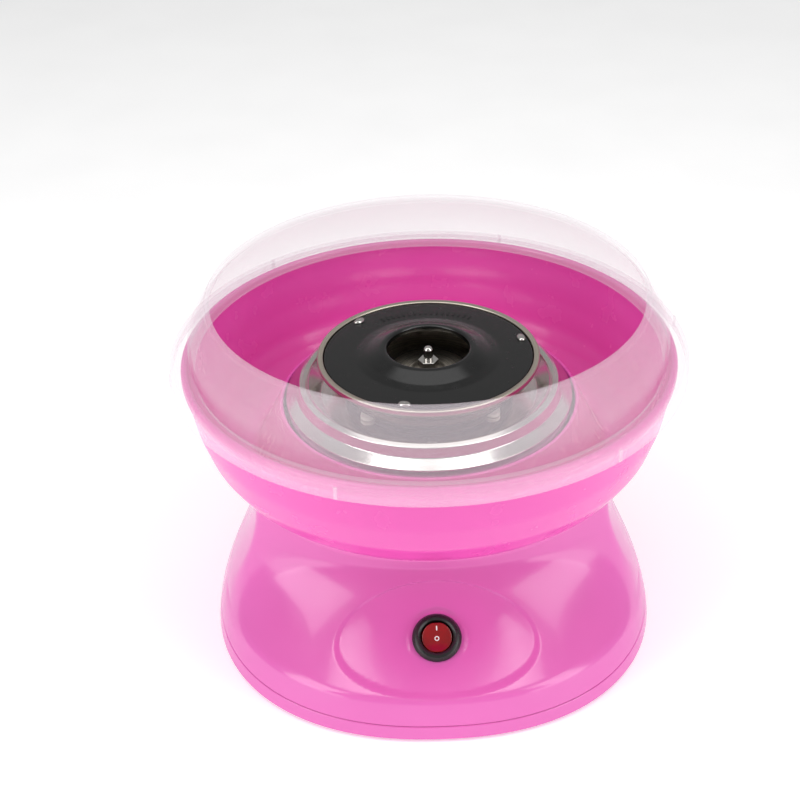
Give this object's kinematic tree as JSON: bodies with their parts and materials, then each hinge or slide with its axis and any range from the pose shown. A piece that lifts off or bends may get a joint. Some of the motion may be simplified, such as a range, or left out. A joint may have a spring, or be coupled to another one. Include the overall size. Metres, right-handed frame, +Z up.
{
  "type": "cotton candy machine",
  "caption": "Countertop cotton candy machine: flared base with scooped front and rocker switch, lift-off bowl and clear splash guard, spinning head over a heated dish.",
  "frame": {"origin": "centre of the footprint, on the surface the rubber feet stand on", "axes": "+Z up along the spindle, -Y towards the front panel with the switch, +X to the right seen from the front"},
  "size_m": [0.27, 0.27, 0.199],
  "materials": {
    "pink_body": "glossy moulded pink plastic with faint flow marks and rounded edges",
    "pink_bowl": "glossy moulded pink plastic, slightly satin inside where sugar is wiped off",
    "clear_guard": "clear, slightly milky moulded plastic, brighter at its rim and flange",
    "black_enamel": "black heat-proof paint, half gloss, with fine orange peel",
    "black_plastic": "black moulded plastic, half gloss",
    "red_rocker": "deep red see-through plastic with white marks",
    "spun_aluminium": "spun and brushed, with fine rings",
    "polished_steel": "polished stainless sheet with fine spinning rings",
    "bright_steel": "bright steel with small scratches",
    "plated_screw": "zinc-plated steel",
    "sheet_steel": "galvanised sheet steel",
    "heater_steel": "heat-darkened sheathed heating tube",
    "ceramic": "unglazed white ceramic",
    "rubber": "matte black rubber",
    "brass": "plain brass",
    "copper": "enamelled copper wire",
    "magnet": "dark grey ferrite",
    "nylon": "off-white nylon",
    "black_lead": "black insulated lead",
    "red_lead": "red insulated lead",
    "white_lead": "white insulated lead"
  },
  "bodies": {
    "base": {"base_housing": "pink_body", "base_plate": "pink_body", "base_screw_1": "plated_screw", "base_screw_2": "plated_screw", "base_screw_3": "plated_screw", "base_screw_4": "plated_screw", "cord_gland": "black_plastic", "damper_screw_1": "plated_screw", "damper_screw_2": "plated_screw", "damper_screw_3": "plated_screw", "dish_screw_1": "plated_screw", "dish_screw_2": "plated_screw", "dish_screw_3": "plated_screw", "heat_shield": "sheet_steel", "heater_bush_1": "ceramic", "heater_bush_2": "ceramic", "heater_dish": "polished_steel", "heater_pin_1": "heater_steel", "heater_pin_2": "heater_steel", "heating_ring": "heater_steel", "lead_live": "black_lead", "lead_neutral": "white_lead", "lead_switched": "red_lead", "motor_bearing_bottom": "brass", "motor_bearing_top": "brass", "motor_bracket": "sheet_steel", "motor_can": "sheet_steel", "motor_damper_1": "rubber", "motor_damper_2": "rubber", "motor_damper_3": "rubber", "motor_end_cap": "nylon", "motor_magnet_1": "magnet", "motor_magnet_2": "magnet", "ring_support_1": "ceramic", "ring_support_2": "ceramic", "rubber_foot_1": "rubber", "rubber_foot_2": "rubber", "rubber_foot_3": "rubber", "rubber_foot_4": "rubber", "switch_body": "black_plastic", "switch_terminal_1": "brass", "switch_terminal_2": "brass", "switch_terminal_3": "brass", "thermal_cutout": "brass"},
    "rotor": {"spindle": "bright_steel", "drive_pin": "bright_steel", "rotor_core": "sheet_steel", "rotor_winding": "copper", "commutator": "copper", "cooling_fan": "nylon"},
    "spinner_head": {"head_pan": "spun_aluminium", "head_cover": "black_enamel", "sugar_screen": "bright_steel", "head_nut": "bright_steel", "cover_tab_1": "bright_steel", "cover_tab_2": "bright_steel", "cover_tab_3": "bright_steel"},
    "bowl": {"bowl": "pink_bowl"},
    "splash_guard": {"splash_guard": "clear_guard"},
    "rocker": {"switch_rocker": "red_rocker"}
  },
  "joints": [
    {"name": "rotor_spin", "type": "hinge", "parent": "base", "child": "rotor", "pos_m": [0, 0, 0.1], "axis": [0, 0, 1], "continuous": true},
    {"name": "head_lift", "type": "slide", "parent": "rotor", "child": "spinner_head", "axis": [0, 0, 1], "range_m": [0, 0.08]},
    {"name": "bowl_lift", "type": "slide", "parent": "base", "child": "bowl", "axis": [0, 0, 1], "range_m": [0, 0.1]},
    {"name": "guard_lift", "type": "slide", "parent": "bowl", "child": "splash_guard", "axis": [0, 0, 1], "range_m": [0, 0.06]},
    {"name": "rocker_tilt", "type": "hinge", "parent": "base", "child": "rocker", "pos_m": [0, -0.086, 0.0389], "axis": [1, 0, 0], "range_deg": [-20, 0]}
  ]
}
